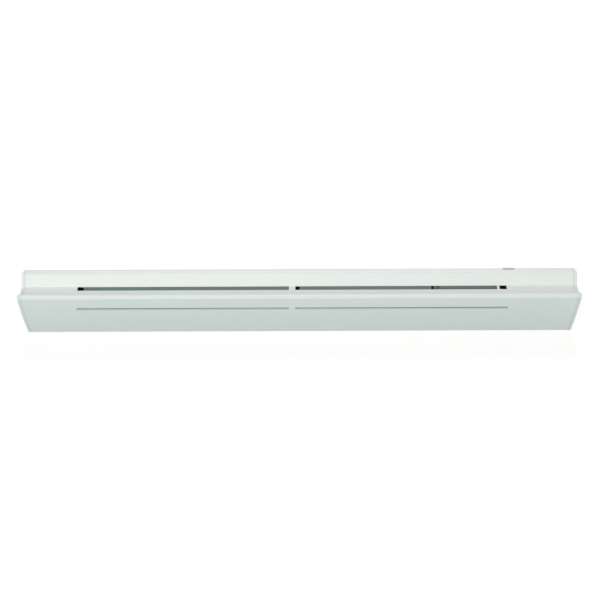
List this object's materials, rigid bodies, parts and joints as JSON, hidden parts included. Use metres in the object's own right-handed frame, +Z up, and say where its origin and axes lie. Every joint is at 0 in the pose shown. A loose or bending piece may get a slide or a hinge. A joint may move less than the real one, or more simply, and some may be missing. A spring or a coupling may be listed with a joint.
{
  "type": "humidity-controlled air inlet",
  "caption": "Long slim window vent with a slotted cover, end caps, linked flaps that a humidity sensor opens, and a slider that closes them.",
  "frame": {"origin": "middle of the length and height, on the plane of the back that lies against the window frame", "axes": "+X along the inlet towards the sensor's end, -Y into the room, +Z up"},
  "size_m": [0.4, 0.0253, 0.046],
  "materials": {
    "cover_white": "satin moulded plastic, faintly cool",
    "base_black": "matt black moulded plastic",
    "flap_grey": "matt grey-green moulded plastic",
    "crank_grey": "matt grey moulded plastic",
    "shroud_grey": "matt grey moulded plastic",
    "tray_white": "satin moulded plastic",
    "acetal": "smooth natural acetal",
    "nylon_ribbon": "translucent woven nylon, slightly yellow",
    "steel": "bright drawn wire and rod",
    "brass": "turned brass",
    "foam": "fine closed-cell foam",
    "gasket_foam": "closed-cell foam, skinned",
    "knob_grey": "dark grey moulded plastic"
  },
  "bodies": {
    "housing": {"front_cover": "cover_white", "end_cap_left": "cover_white", "end_cap_right": "cover_white", "base_plate": "base_black", "rear_gasket": "gasket_foam", "axle_bushes": "acetal", "lever_pin": "steel", "sensor_cassette": "tray_white", "cassette_screws": "steel", "insulation_pad": "foam", "sensor_shroud": "shroud_grey", "anchor_block": "tray_white", "humidity_strips": "nylon_ribbon", "calibration_screw": "brass", "return_spring": "steel"},
    "shutter": {"shutter_left": "flap_grey", "shutter_right": "flap_grey", "shutter_axle": "steel", "axle_clips": "steel", "shutter_crank": "crank_grey"},
    "lever": {"drive_lever": "acetal"},
    "yoke": {"sensor_yoke": "acetal"},
    "slider": {"closing_slider": "knob_grey"}
  },
  "joints": [
    {"name": "shutter_turn", "type": "hinge", "parent": "housing", "child": "shutter", "pos_m": [0, -0.00515, 0.0141], "axis": [-1, 0, 0], "range_deg": [0, 30]},
    {"name": "lever_turn", "type": "hinge", "parent": "housing", "child": "lever", "pos_m": [0.10796, -0.0078, 0.0051], "axis": [0, 0, 1], "range_deg": [0, 30]},
    {"name": "yoke_slide", "type": "slide", "parent": "housing", "child": "yoke", "axis": [-1, 0, 0], "range_m": [0, 0.00161], "deforming": ["humidity_strips", "return_spring"]},
    {"name": "closing_slide", "type": "slide", "parent": "housing", "child": "slider", "axis": [-1, 0, 0], "range_m": [0, 0.0026]}
  ],
  "couplings": [
    {"joint": "lever_turn", "follows": "shutter_turn", "ratio": 1},
    {"joint": "yoke_slide", "follows": "shutter_turn", "m_per_rad": 0.0030647}
  ]
}
